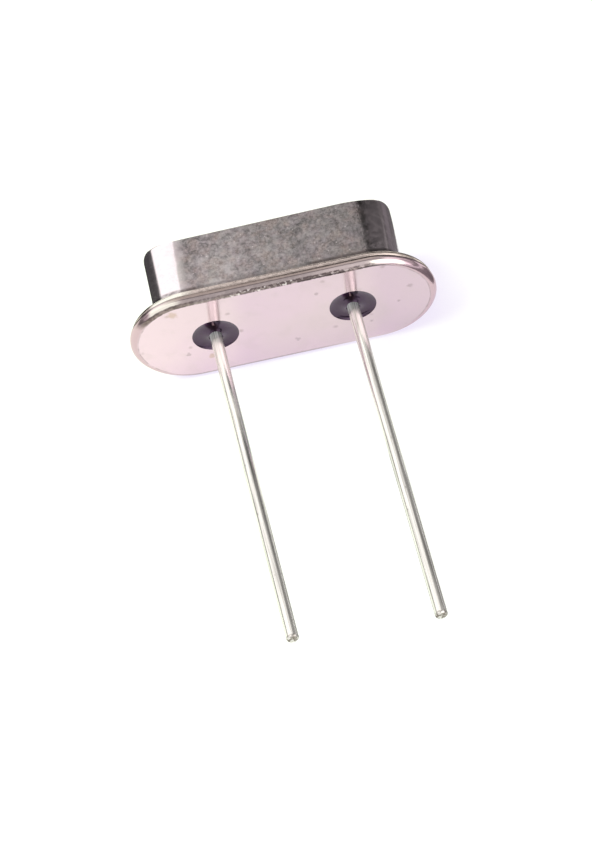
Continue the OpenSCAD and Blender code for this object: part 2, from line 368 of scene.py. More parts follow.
class Finish:
    """A node material, or a world, of one shader, with short calls for the nodes that feed it."""

    def __init__(self, name, kind="BsdfPrincipled"):
        owners, output = bpy.data.materials, "OutputMaterial"
        if kind == "Background":
            owners, output = bpy.data.worlds, "OutputWorld"
        self.owner = owners.new(name)
        self.owner.use_nodes = True
        self.tree = self.owner.node_tree
        self.tree.nodes.clear()
        self.column = 0
        self.shader = self.node(kind)
        self.node(output, {"Surface": self.shader.outputs[0]})

    def node(self, kind, inputs=(), **options):
        """A new node with its options, and its sockets, by name or number, filled from inputs."""
        made = self.tree.nodes.new("ShaderNode" + kind)
        made.location = (self.column, 0)
        self.column -= 40
        for key, value in options.items():
            setattr(made, key, value)
        for key, value in dict(inputs).items():
            self.put(made.inputs[key], value)
        return made

    def put(self, socket, value):
        """Links a node's output, or sets a plain value."""
        if isinstance(value, Value):
            value = value.socket
        if isinstance(value, bpy.types.NodeSocket):
            self.tree.links.new(value, socket)
        elif isinstance(value, (int, float)):
            socket.default_value = value
        else:
            socket.default_value = [*value, 1.0][: len(socket.default_value)]

    def set(self, **values):
        for key, value in values.items():
            self.put(self.shader.inputs[key.replace("_", " ")], value)
        return self

    def shade(self, *pieces):
        for piece in pieces:
            piece.data.materials.clear()
            piece.data.materials.append(self.owner)

    def math(self, operation, *values):
        return Value(self, self.node("Math", enumerate(values), operation=operation).outputs[0])

    def axes(self, vector):
        return [Value(self, output) for output in self.node("SeparateXYZ", {0: vector}).outputs]

    def own_place(self):
        return self.node("TexCoord").outputs["Object"]

    def upright(self):
        """Object coordinates turned back into the upright frame, in millimetres."""
        turn = math.pi / 2 + rest_tilt(*settings("can", "base"))
        return self.moved(self.own_place(), scale=(1 / MM,) * 3, turn=(turn, 0, 0))

    def moved(self, vector, offset=(0, 0, 0), scale=(1, 1, 1), turn=(0, 0, 0)):
        inputs = {"Vector": vector, "Location": offset, "Rotation": turn, "Scale": scale}
        return self.node("Mapping", inputs, vector_type="POINT").outputs["Vector"]

    def noise(self, vector, scale, detail=2.0, rough=0.5, distort=0.0, output="Fac"):
        inputs = {"Vector": vector, "Scale": scale, "Detail": detail, "Roughness": rough}
        inputs["Distortion"] = distort
        return Value(self, self.node("TexNoise", inputs).outputs[output])

    def cells(self, vector, scale, metric="EUCLIDEAN", output="Distance"):
        inputs = {"Vector": vector, "Scale": scale}
        return Value(self, self.node("TexVoronoi", inputs, distance=metric).outputs[output])

    def mix(self, share, first, second, blend="MIX"):
        """The first colour where the share is 0, and the second, or their blend, where it is 1."""
        inputs = {"Factor": share, 6: first, 7: second}
        return self.node("Mix", inputs, data_type="RGBA", blend_type=blend).outputs[2]

    def shades(self, share, rgb, darker, lighter):
        """One colour from its darker to its lighter shade."""
        return self.mix(share, tinted(rgb, darker), tinted(rgb, lighter))

    def coats(self, ground, *coats):
        """A colour with others laid over it in turn, each as its share and its colour."""
        for share, coat in coats:
            ground = self.mix(share, ground, coat)
        return ground

    def bump(self, height, millimetres, strength, under=None):
        """A dented normal, which dents the normal under it further if there is one."""
        inputs = {"Strength": strength, "Distance": millimetres * MM, "Height": height}
        if under:
            inputs["Normal"] = under
        return self.node("Bump", inputs).outputs["Normal"]

    def background_shows(self):
        """1 for the rays that show the background itself: camera, glossy and transmission rays."""
        path = self.node("LightPath").outputs
        seen = self.math("MAXIMUM", path["Is Camera Ray"], path["Is Glossy Ray"])
        return seen.most(path["Is Transmission Ray"])


def tinted(rgb, by):
    return tuple(min(1.0, channel * by) for channel in rgb)


# ---------------------------------------------------------------- finishes

# Painted highlight: a brighter colour where the flange and the plate's rolled edge catch the light.
PAINTED_HIGHLIGHT = (0.84, 0.80, 0.74)
# Painted shade along the walls' foot; the same dark colours the joint under the flange's lip.
FOOT_SHADE_AND_JOINT = (0.085, 0.065, 0.06)
# Painted highlight on the flange's right end.
FLANGE_RIGHT_HIGHLIGHT = (0.80, 0.68, 0.62)
RIGHT_END_TINT, NEARLY_WHITE = (0.96, 0.91, 0.935), (1.055, 1.055, 1.075)
FACE_RIGHT, FACE_DRIFT, FACE_HAZE = (0.605, 0.50, 0.545), (0.73, 0.55, 0.68), (0.62, 0.51, 0.54)
GREY_MARK, TAN_MARK = (0.40, 0.32, 0.36), (0.52, 0.37, 0.28)
# Stains on the seating face: x, y and radius in millimetres, and colour.
FACE_MARKS = [
    (-3.69, -1.62, 0.24, TAN_MARK),
    (-2.76, 1.13, 0.17, TAN_MARK),
    (-3.57, 0.79, 0.12, GREY_MARK),
    (4.51, -0.44, 0.14, GREY_MARK),
    (0.29, 1.23, 0.12, GREY_MARK),
    (4.03, 0.28, 0.1, GREY_MARK),
    (1.3, -1.11, 0.09, GREY_MARK),
    (2.97, 1.08, 0.09, GREY_MARK),
]
# The second colour on the next line is painted shade along the plate's lower edge.
ROUND_END, LOWER_EDGE_SHADE, CREASE = (0.60, 0.44, 0.50), (0.40, 0.33, 0.37), (0.36, 0.27, 0.30)
SEAM_BROWN, GROOVE, SMUDGE = (0.30, 0.235, 0.205), (0.13, 0.085, 0.085), (0.25, 0.19, 0.2)
# The second colour on the next line is painted glints among the dents.
DARK_DENT, PAINTED_GLINT = (0.11, 0.08, 0.085), (0.80, 0.74, 0.74)
SCORCH_DARK, SCORCH_PALE = (0.09, 0.065, 0.06), (0.24, 0.19, 0.18)
# Last two colours on the next line: painted shade and reflection of the wire, and its painted highlight line.
BUBBLE, WIRE_SHADE_DARK, WIRE_GLEAM_LINE = (0.09, 0.08, 0.10), (0.014, 0.007, 0.011), (0.42, 0.27, 0.30)
# The third colour on the next line is a painted dark reflection along one side of the left lead.
NICK, CUT_DARK, DARK_REFLECTION = (0.3, 0.27, 0.25), (0.2, 0.17, 0.15), (0.56, 0.62, 0.62)
SATIN_DARK, SATIN_PALE = (0.60, 0.57, 0.52), (0.94, 0.91, 0.84)
ROOT_DARK, ROOT_PALE = (0.20, 0.21, 0.20), (0.60, 0.61, 0.60)


def drawn_can_finish(can, base):
    """Matt mottled grain on the long walls and the crown, smooth corners and ends, and a warm bright flange.

    Painted shade darkens the walls along the foot, and the flange's lip is dark at its joint with the base
    plate.
    Painted highlights brighten the flange at its left end and, less, at its right end, and the long walls
    near their left end; the long walls are also painted lighter towards the left and darker towards the
    right.
    """
    f = Finish("drawn_nickel_sheet")
    place = f.upright()
    x, y, z = f.axes(place)
    right = x.ramp(-0.1, 0.1)
    grain = f.noise(f.moved(place, (0.3, 5.1, 2.2)), 9.5, 3.0, 0.7)
    patch = f.noise(f.moved(place, (3.1, 1.7, 0.4)), 4.4, 3.0, 0.65, 0.5)
    cloud = f.noise(place, 0.9, 3.0, 0.6, 0.4)
    rim = f.noise(f.moved(place, scale=(1, 1, 2)), 5.0, 3.0, 0.55)
    wander = f.noise(place, 2.2) + grain * 0.5

    edge = abs(x - 0.05) + (wander - 0.75) * 0.1
    start = (can.length / 2 - can.corner_reach) / MM - 0.02
    crown = can.height / MM
    smooth = right.between(edge.ramp(start - 0.03, start + 0.06), edge.ramp(start + 0.02, start + 0.3))
    smooth = smooth * z.fall(crown - 0.12, crown - 0.03)
    polish = smooth.most(edge.ramp(start - 0.32, start + 0.12) * right.between(0.45, 0.95))

    tone = patch.spread(-0.55, 0.55) + cloud.spread(-0.3, 0.3)
    tone = tone * x.ramp(-3.5, 3.5, 1.35, 0.8) + grain.spread(-0.45, 0.45)
    tone = tone + z.ramp(0.8, 2.8, 0.35, -0.2) * x.ramp(-0.6, -1.8)
    # Painted light: the long walls go from lighter at the left, where the light comes from, to darker at the
    # right.
    tone = tone + x.ramp(-4.0, 3.6, 0.3, -0.3, smooth=False)
    stained = f.noise(f.moved(place, (7.7, 0.2, 3.0)), 2.6, 3.0, 0.6).ramp(0.45, 0.66, 0.0, 0.7)
    flecks = f.cells(place, 4.6).fall(0.05, 0.13, 0.9) * grain.ramp(0.4, 0.55)
    # Painted highlight: the long walls brighten towards their left end, beside the lit corner.
    left_highlight = (x + wander * 0.1).ramp(0.55 - start, 0.05 - start, 0.0, 0.75)
    side = f.coats(
        f.shades(tone.ramp(-1.2, 1.2, smooth=False), can.side_finish, 0.4, 1.6),
        (stained, f.shades(grain.ramp(0.35, 0.65), can.patch_finish, 0.7, 1.35)),
        (flecks, tinted(can.side_finish, 2.2)),
        (left_highlight, tinted(can.side_finish, 2.1)),
    )
    hue = f.noise(f.moved(place, (1.3, 0.0, 5.2)), 1.3, 3.0, 0.7, 0.4, "Color")
    side = f.mix(1.0, side, f.mix(0.13, NEARLY_WHITE, hue), "MULTIPLY")
    ends = f.shades(patch.spread(), can.end_finish, 0.94, 1.05)
    ends = f.mix(x.ramp(-1.0, 1.0), ends, RIGHT_END_TINT, "MULTIPLY")

    shelf = (base.thickness + can.sheet) / MM
    foot = z.fall(shelf + 0.01, shelf + 0.06)
    flange = f.coats(
        f.shades(rim.ramp(0.35, 0.65), can.flange_finish, 0.84, 1.18),
        # Painted highlight on the flange's left end.
        (x.ramp(-2.7, -3.3) * x.ramp(-4.5, -4.2) * y.ramp(-1.2, -1.5), PAINTED_HIGHLIGHT),
        # Painted highlight, weaker, on the flange's right end.
        (x.ramp(3.1, 3.6) * 0.6, FLANGE_RIGHT_HIGHLIGHT),
    )
    # Painted shade: the walls darken towards the foot, in the crease where the flange meets them.
    foot_shade = (z + (rim - 0.5) * 0.06).fall(shelf + 0.26, shelf + 0.36, 0.72)
    foot_shade = foot_shade * z.ramp(shelf - 0.02, shelf + 0.03)
    fading = x.ramp(0.6, 1.6).most(x.ramp(-2.0, -2.8, 0.3, 0.8)) + patch.ramp(0.4, 0.65, -0.2, 0.4)
    joint = z.fall(shelf - 0.23, shelf - 0.19, 0.55)
    shade_and_joint = (foot_shade * fading.least(1.0)).most(joint)
    skin = f.coats(side, (smooth, ends), (foot, flange), (shade_and_joint, FOOT_SHADE_AND_JOINT))

    wall_rough = polish.between(grain.spread(0.36, 0.5), patch.spread(0.12, 0.18))
    dents = f.bump(rim * (foot + 0.3), 0.004, 0.4)
    return f.set(
        Base_Color=skin,
        Metallic=1.0,
        Roughness=foot.between(wall_rough, rim.ramp(0.35, 0.7, 0.16, 0.28)),
        Normal=f.bump((grain + patch * 0.8) * (1.0 - smooth), 0.006, 0.7, dents),
    )


def base_plate_finish(base):
    """Rosy polish on the seating face with stains and pits, and a duller, dented rolled edge.

    inside is the distance in from the round-ended outline, and beyond is how far a point lies past the
    centre of a round end. The rolled edge has painted highlights near the round ends, painted glints among
    its dents, and painted shade along its lower side.
    """
    f = Finish("polished_base_metal")
    place = f.upright()
    x, y, z = f.axes(place)
    fine, mottle = f.noise(place, 9.0), f.noise(place, 5.0)
    beyond = (abs(x) - (base.length - base.width) / 2 / MM).most(0.0)
    inside = base.width / 2 / MM - beyond.far(y)
    ragged = inside + (fine - 0.5) * 0.05
    edge = ragged.fall(0.2, 0.25)
    upper = y.ramp(-1.2, -1.6)

    haze = f.noise(f.moved(place, (4.0, 9.0, 0.0)), 1.3, 3.0, 0.6)
    pit = (f.cells(place, 1.15) + fine * 0.07).fall(0.06, 0.19) * f.noise(place, 0.9, 1.0).ramp(0.34, 0.44)
    dust = f.cells(place, 3.4).fall(0.02, 0.09, 0.3)
    frayed = (f.noise(place, 7.0) - 0.5) * 0.25
    marks = [
        (((x - mark_x).far(y - mark_y) + frayed).fall(radius * 0.3, radius, 0.55), mark)
        for mark_x, mark_y, radius, mark in FACE_MARKS
    ]
    face = f.coats(
        tinted(base.face_finish, 1.05),
        (x.ramp(-5.0, 5.0, smooth=False), FACE_RIGHT),
        (f.noise(place, 0.35).ramp(0.4, 0.62, 0.0, 0.4), FACE_DRIFT),
        (haze.ramp(0.5, 0.68, 0.0, 0.2), FACE_HAZE),
        ((pit * 0.55).most(dust), base.stain_finish),
        *marks,
    )

    limit = x.ramp(-0.1, 0.1).between(z.ramp(0.16, 0.21, 1.0, 0.35), z.fall(0.09, 0.13))
    # Painted highlight on the rolled edge near the round ends, held to a band in height by limit.
    highlight_zone = beyond.ramp(0.0, 0.4) * beyond.fall(1.15, 1.4) * y.ramp(-1.3, -1.6)
    highlight_zone = highlight_zone * limit * (z + mottle * 0.03).ramp(0.03, 0.055)
    straight = beyond.fall(0.2, 0.9) * y.ramp(-1.9, -2.1)
    uneven_z = z + (mottle - 0.5) * 0.04
    smudge = x.ramp(-4.4, -4.6) * y.ramp(-1.1, -1.45) * z.ramp(0.1, 0.17, 1.0, 0.5)
    band = f.coats(
        f.shades(mottle.ramp(0.35, 0.65), base.edge_finish, 0.93, 1.07),
        (x.ramp(0.6, 2.4), tinted(base.edge_finish, 1.5)),
        (beyond.ramp(0.2, 1.2), ROUND_END),
        (highlight_zone, PAINTED_HIGHLIGHT),
        (straight * uneven_z.ramp(0.14, 0.18, 0.0, 0.7), SEAM_BROWN),
        (straight * abs(uneven_z - 0.145).fall(0.008, 0.022, 0.55), GROOVE),
        (smudge * mottle.ramp(0.3, 0.6, 0.6, 0.95), SMUDGE),
        # Painted shade: the rolled edge darker along the lower side, where it faces the floor's shadow.
        (inside.fall(0.05, 0.16, 0.5) * y.ramp(1.1, 1.7), LOWER_EDGE_SHADE),
    )

    line = abs(ragged - 0.18).fall(0.07, 0.1) * upper
    dented = line * beyond.fall(0.0, 0.6)
    pick = f.axes(f.cells(f.moved(place, scale=(1.0, 0.8, 0.8)), 14.0, "CHEBYCHEV", "Color"))[0]
    worst = x.ramp(-2.2, -0.2, 0.45, 1.0) * x.ramp(2.2, 3.2, 1.0, 0.6)
    dark_dent = dented * worst * pick.ramp(0.36, 0.44)
    # Painted glints: pale spots among the dents, as if they caught the light.
    glint_zone = dented * pick.ramp(0.1, 0.07) * x.ramp(-1.9, -1.5) * x.ramp(1.3, 0.8)
    scorch = (line * x.ramp(-2.4, -3.2, 0.0, 0.85)).most(dented * mottle.ramp(0.35, 0.6, 0.1, 0.6))
    joint = z.ramp(base.thickness / MM - 0.08, base.thickness / MM - 0.04, 0.0, 0.55)
    crease = abs(ragged - 0.25).fall(0.012, 0.035) * beyond.ramp(0.9, 1.5) * mottle.ramp(0.3, 0.6, 0.15, 0.6)
    skin = f.coats(
        face,
        (edge, band),
        (crease, CREASE),
        (scorch.most(joint), f.mix(mottle.ramp(0.4, 0.6), SCORCH_DARK, SCORCH_PALE)),
        (dark_dent * 0.8, DARK_DENT),
        (glint_zone * 0.8, PAINTED_GLINT),
    )
    lip = mottle * ragged.fall(0.22, 0.3)
    waves = f.bump(f.noise(place, 0.8, 1.0), 0.004, 0.6)
    return f.set(
        Base_Color=skin,
        Metallic=1.0,
        Roughness=edge.between(haze.ramp(0.4, 0.7, 0.11, 0.15), mottle.spread(0.13, 0.2)),
        Normal=f.bump(lip, 0.002, 0.5, waves),
    )


def glass_finish(seal, lead):
    """Opaque slate glass, glossy and a little cloudy, with a few small bubbles under the skin.

    Above each wire, in an oval, the glass is painted darker and mirrors like metal, as painted shade and a
    dark painted reflection of the wire, with one thin bright line painted as the reflection of its highlight.
    """
    f = Finish("slate_glass")
    place = f.upright()
    x, y, _ = f.axes(place)
    cloud = f.noise(place, 2.4, 3.0, 0.6, 0.6)
    bubbles = f.cells(place, 8.0).fall(0.05, 0.12)
    glass = f.shades(cloud.ramp(0.35, 0.65), seal.glass, 0.4, 1.6)
    glass = f.mix(bubbles * 0.25, glass, BUBBLE)
    off_x = x - f.math("SIGN", x) * (lead.pitch / 2 / MM)
    torn = (f.noise(place, 7.0, 2.0, 0.6) - 0.5) * 0.3
    across, up = (off_x + (y + 0.3) * -0.35) / 0.24, (y + 0.5) / 0.36
    # Painted shade and painted reflection of the wire: a dark, metal-like oval above each wire, with a thin
    # bright line.
    wire_shade = (across.far(up) + torn).fall(0.55, 1.1)
    wire_gleam = abs(off_x + torn * 0.3).fall(0.015, 0.045) * y.ramp(-0.42, -0.5)
    return f.set(
        Base_Color=f.mix(wire_shade, glass, f.mix(wire_gleam, WIRE_SHADE_DARK, WIRE_GLEAM_LINE)),
        Metallic=wire_shade * 0.95,
        Roughness=cloud.spread(0.08, 0.16),
        IOR=1.7,
        Specular_Tint=(0.95, 0.64, 1.0),
        Normal=f.bump(cloud + bubbles * 0.2, 0.008, 0.6),
    )


def wire_finish(lead):
    """Tinned wire with fine drawing lines along it, short nicks, and a duller, darker cut end.

    Close to the glass it is dull, then satin. The left lead has one more satin stretch, and there a painted
    dark reflection darkens one side of it.
    Its map holds the turn round the wire, and millimetres along it from the seating face.
    """
    f = Finish("tinned_wire")
    wire = f.node("UVMap", uv_map="wire").outputs["UV"]
    turn, along, _ = f.axes(wire)
    left = f.axes(f.upright())[0].fall(-1.0, 1.0)
    lines = f.noise(f.moved(wire, scale=(22, 0.35, 1)), 1.0, 3.0, 0.6)
    nicks = f.cells(f.moved(wire, scale=(7, 1.6, 1)), 1.0).fall(0.03, 0.1)
    fume = f.noise(f.moved(wire, scale=(3, 2.4, 1)), 1.0, 3.0) - 0.5
    tip = lead.reach / MM
    cut = along.ramp(tip - 0.12, tip - 0.02) * f.noise(wire, 4.0, 3.0, 0.7).ramp(0.4, 0.6)
    root = (along + fume * 0.5).fall(0.05, 0.45)
    fumed = along + fume * 0.9
    satin = fumed.fall(0.9, 3.0) * (turn + fume * 0.1).ramp(0.6, 0.7, 0.4, 1.0)
    satin = satin.most(fumed.ramp(2.0, 3.6) * fumed.fall(3.6, 5.6, 0.9) * left * turn.ramp(0.64, 0.74))
    # Painted dark reflection along one side of the left lead.
    dark_reflection_zone = along.ramp(1.9, 2.8) * along.fall(5.0, 6.0) * left * turn.ramp(0.84, 0.9)
    tone = f.coats(
        f.shades(lines.ramp(0.32, 0.6), lead.wire_finish, 0.7, 1.05),
        (nicks * 0.5, NICK),
        (cut, CUT_DARK),
        (satin, f.mix(lines.ramp(0.38, 0.52), SATIN_DARK, SATIN_PALE)),
    )
    tone = f.mix(dark_reflection_zone, tone, DARK_REFLECTION, "MULTIPLY")
    return f.set(
        Base_Color=f.mix(root, tone, f.mix(lines.ramp(0.4, 0.6), ROOT_DARK, ROOT_PALE)),
        Metallic=1.0 - (root * 0.7).most(satin * 0.42),
        Roughness=root.most(satin).between(lines.spread(0.12, 0.24), 0.26),
        Normal=f.bump(lines + nicks, 0.004, 0.6),
    )


def strip_finish():
    """Rolled nickel strip: fine lines along the roll and a faint yellow cast."""
    f = Finish("rolled_nickel_strip")
    place = f.upright()
    lines = f.noise(f.moved(place, scale=(1.5, 30, 30)), 1.0, 3.0)
    stain = f.noise(place, 2.5).ramp(0.5, 0.75, 0.0, 0.4)
    tone = f.mix(lines.spread(), (0.56, 0.54, 0.47), (0.74, 0.72, 0.64))
    return f.set(
        Base_Color=f.mix(stain, tone, (0.5, 0.44, 0.33)),
        Metallic=1.0,
        Roughness=lines.spread(0.2, 0.36),
        Normal=f.bump(lines, 0.004, 0.6),
    )


def quartz_finish():
    """Clear quartz, lapped and etched, with faint mist where the lapping shows."""
    f = Finish("lapped_quartz")
    mist = f.noise(f.upright(), 5.0, 3.0, 0.6)
    return f.set(
        Base_Color=f.mix(mist.ramp(0.35, 0.7), (0.90, 0.93, 0.95), (0.80, 0.84, 0.87)),
        Roughness=mist.ramp(0.35, 0.7, 0.04, 0.2),
        IOR=1.544,
        Transmission_Weight=0.85,
        Normal=f.bump(mist, 0.002, 0.4),
    )


def silver_finish():
    """Thin silver film that takes the blank's fine grain, a little yellowed in patches."""
    f = Finish("silver_film")
    place = f.upright()
    grain = f.noise(place, 20.0)
    yellowed = f.noise(place, 1.4).ramp(0.5, 0.75, 0.0, 0.3)
    tone = f.mix(grain.spread(), (0.86, 0.86, 0.87), (0.94, 0.94, 0.95))
    return f.set(
        Base_Color=f.mix(yellowed, tone, (0.86, 0.79, 0.62)),
        Metallic=1.0,
        Roughness=grain.spread(0.14, 0.26),
        Normal=f.bump(grain, 0.002, 0.5),
    )


def cement_finish():
    """Cured silver-filled cement: grey paste with bright flakes and a dimpled skin."""
    f = Finish("silver_cement")
    place = f.upright()
    lumps = f.noise(place, 9.0, 3.0, 0.6)
    flakes = f.cells(place, 26.0).fall(0.1, 0.2)
    tone = f.mix(lumps.spread(), (0.34, 0.34, 0.35), (0.5, 0.5, 0.51))
    return f.set(
        Base_Color=f.mix(flakes * 0.7, tone, (0.78, 0.78, 0.8)),
        Metallic=flakes * 0.8,
        Roughness=lumps.spread(0.45, 0.7),
        Normal=f.bump(lumps, 0.02, 0.7),
    )


# ---------------------------------------------------------------- pieces

# Share of the can's height at which its flare and lean leave the wall where it is.
PIVOT = 0.35
# The right end's extra fall: where it starts and how long it takes, as shares of half the can's length.
DROOP_START, DROOP_RUN = 0.62, 0.26
# Points on a pierced face: steps of its middle line, and shares of the way from the hole to the border.
CUT_STEPS = 12
RAY_SHARES = [0, 0.01, 0.12, 0.3, 0.5, 0.7, 0.88, 0.985, 1.0]
# Points round a lead and round a seal, and steps along a lead's stub, bend and run.
WIRE_SIDES, SEAL_SIDES = 48, 96
STUB_STEPS, BEND_STEPS, RUN_STEPS = 8, 10, 40


def as_pressed(grid, can, base):
    """A can of true form with the small departures that the press leaves.

    rise is the share of the height. The long walls draw in by rise times a part of the sink that keeps the
    sharper crown's edge on the rest plane. The ends flare and lean by rise less the pivot, the right one
    draws in by the shoulder times rise to the power 6, and the crown falls by rise times the settle, less
    the slope along it, plus the droop at its right end, eased by 3 t^2 - 2 t^3.
    """
    shelf = base.thickness + can.sheet
    rise = np.clip((grid[..., 2] - shelf) / (can.height - shelf), 0, 1)
    tilt = rest_tilt(can, base)
    sink = (can.crown_radius - can.crown_edge) * (math.cos(tilt) + math.sin(tilt) - 1)
    grid[..., 1] *= 1 - rise * sink / math.cos(tilt) / (can.width / 2)
    grid[..., 0] *= 1 + (rise - PIVOT) * can.flare / (can.length / 2)
    grid[..., 0] -= (rise - PIVOT) * can.lean
    along = grid[..., 0] / (can.length / 2)
    grid[..., 0] -= rise**6 * can.shoulder * np.clip(along, 0, 1)
    t = np.clip((along - DROOP_START) / DROOP_RUN, 0, 1)
    grid[..., 2] -= rise * (can.settle - can.slope * along + can.droop * t**2 * (3 - 2 * t))
    return grid


class CRYSTAL_OT_can(bpy.types.Operator):
    """Drawn can: crown, soft-cornered walls and turned-out flange, inside and out"""

    bl_idname = "crystal.can"
    bl_label = "Drawn can"

    def execute(self, context):
        can, base = settings("can", "base")
        wall = soft_rectangle(can.length, can.width, can.corner_reach, can.corner_softness)
        rim = round_ended(base.length - 2 * can.flange_inset, base.width - 2 * can.flange_inset)
        top, sheet, seam, press = can.height, can.sheet, base.thickness, can.crown_edge
        bend = seam + sheet + can.foot_radius
        foot, crown = (can.foot_radius, bend), top - can.crown_radius
        down = held(6)[1:-1, None]
        outer_section = [
            arc((-press, top - press), press, 90, 0, 12),
            [0, top - press] + down * [0, bend - top + press],
            arc(foot, can.foot_radius, 180, 270, 8),
        ]
        inner_section = [
            arc(foot, can.foot_radius + sheet, 270, 180, 10),
            [-sheet, bend] + down * [0, crown - bend],
            arc((-can.crown_radius, crown), can.crown_radius - sheet, 0, 90, 6),
        ]
        outer, inner = rings(wall, np.concatenate(outer_section)), rings(wall, np.concatenate(inner_section))
        lip = rings(rim, arc((-sheet / 2, seam + sheet / 2), sheet / 2, 90, -90, 16))
        flat = held(4, 0.04)[1:-1]
        spread = held(6, 0.012)[:, None, None]
        crown_top = outer[0] * [1, 1, 0] * spread + [0, 0, top] - can.crown_dome * spread**2 * [0, 0, 1]
        crown_under = inner[-1] * [1, 1, 0] * spread[::-1] + [0, 0, top - sheet]
        shelf_top, underside = blend_rings(outer[-1], lip[0], flat), blend_rings(lip[-1], inner[0], flat)
        grid = np.concatenate([crown_top[:-1], outer, shelf_top, lip, underside, inner, crown_under[1:]])
        piece = solid_from_sheets("drawn_can", [as_pressed(grid, can, base)])
        drawn_can_finish(can, base).shade(piece)
        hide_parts("can")
        return {"FINISHED"}


def pierced_face(outline, height, hole_x, hole_radius, side):
    """Half of a flat face, from a round hole out to the half outline and the middle line.

    Each ray goes from the hole's edge to a border point, along the direction in which the hole's centre
    sees that point, and the ray shares place its points.
    """
    half = len(outline) // 2
    border = outline[: half + 1] if side == RIGHT else np.concatenate([outline[half:], outline[:1]])
    cut = np.linspace(border[-1, 1], border[0, 1], CUT_STEPS + 1)[1:-1]
    border = np.concatenate([border, np.c_[0 * cut, cut]])
    middle = np.array([side * hole_x, 0.0])
    away = border - middle
    away /= np.linalg.norm(away, axis=1)[:, None]
    flat = blend_rings(middle + hole_radius * away, border, RAY_SHARES)
    return np.concatenate([flat, np.full(flat.shape[:2] + (1,), height)], axis=2)


class CRYSTAL_OT_base_plate(bpy.types.Operator):
    """Base plate: polished seating face, rolled edge, plug inside the can, and two holes for the seals"""

    bl_idname = "crystal.base_plate"
    bl_label = "Base plate"

    def execute(self, context):
        can, base, seal, lead = settings("can", "base", "seal", "lead")
        inset = can.sheet + base.plug_gap
        plug = soft_rectangle(
            can.length - 2 * inset, can.width - 2 * inset, can.corner_reach - inset * 0.9, can.corner_softness
        )
        seam, edge_r, deck = base.seam_radius, base.plug_edge_radius, base.thickness + base.plug_height
        rolled = arc((-1, 1), 1.0, -90, 0, 18) * (base.edge_reach, base.edge_radius)
        flange = [rolled, arc((-seam, base.thickness - seam), seam, 0, 90, 6)]
        edge = rings(round_ended(base.length, base.width), np.concatenate(flange))
        upright = [[[0, base.thickness]], arc((-edge_r, deck - edge_r), edge_r, 0, 90, 6)]
        block = rings(plug, np.concatenate(upright))
        ledge = blend_rings(edge[-1], block[0], held(3))
        sheets = [np.concatenate([edge, ledge[1:-1], block])]
        for side in (LEFT, RIGHT):
            hole = (lead.pitch / 2, seal.diameter / 2, side)
            low = pierced_face(edge[0][:, :2], 0.0, *hole)
            high = pierced_face(block[-1][:, :2], deck, *hole)
            sheets += [low, high, blend_rings(low[0], high[0], held(3))]
        piece = solid_from_sheets("polished_base", sheets)
        base_plate_finish(base).shade(piece)
        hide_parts("base_plate")
        return {"FINISHED"}


class CRYSTAL_OT_seals(bpy.types.Operator):
    """Glass seals: beads whose glass is dished between the lead and the hole's wall

    The glass lies below the seating face by the dish times (4 t (1 - t)) to the power 0.9, where t goes
    from 0 at the lead to 1 at the wall, and by 0.02 mm more at the wall.
    """

    bl_idname = "crystal.seals"
    bl_label = "Glass seals"

    def execute(self, context):
        base, seal, lead = settings("base", "seal", "lead")
        deck = base.thickness + base.plug_height
        inner, outer = lead.diameter / 2, seal.diameter / 2
        t = np.linspace(0, 1, 25)
        skin = np.c_[inner + (outer - inner) * t, seal.dish * (4 * t * (1 - t)) ** 0.9 + 0.02 * MM * t]
        section = np.concatenate([skin, [[outer, deck], [inner, deck]], skin[:1]])
        finish = glass_finish(seal, lead)
        for side, name in SIDE_NAMES.items():
            grid = turned(section, (side * lead.pitch / 2, 0.0), SEAL_SIDES)
            piece = solid_from_sheets(f"glass_seal_{name}", [grid])
            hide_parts(f"seal_{name}")
            finish.shade(piece)
        return {"FINISHED"}


def lead_path(lead, lean, top):
    """Centre line of a lead in its own plane: straight down, round the bend, and straight on.

    It comes as points, each point's lean from upright, and the length up to it.
    """
    r = lead.bend_radius
    run = (lead.reach - lead.stub - r * math.sin(lean)) / math.cos(lean)
    turn = np.linspace(0, lean, BEND_STEPS + 1)
    down = np.linspace(0, 1, STUB_STEPS + 1)[:-1] * (top + lead.stub)
    bend = np.c_[r * (1 - np.cos(turn)), -lead.stub - r * np.sin(turn)]
    on = np.append(np.linspace(0, 1, RUN_STEPS + 1)[1:] * (run - lead.tip_radius), run)
    tail = bend[-1] + on[:, None] * [math.sin(lean), -math.cos(lean)]
    line = np.concatenate([np.c_[0 * down, top - down], bend, tail])
    leans = np.concatenate([0 * down, turn, np.full(len(tail), lean)])
    lengths = np.append(0, np.cumsum(np.linalg.norm(np.diff(line, axis=0), axis=1)))
    return line, leans, lengths


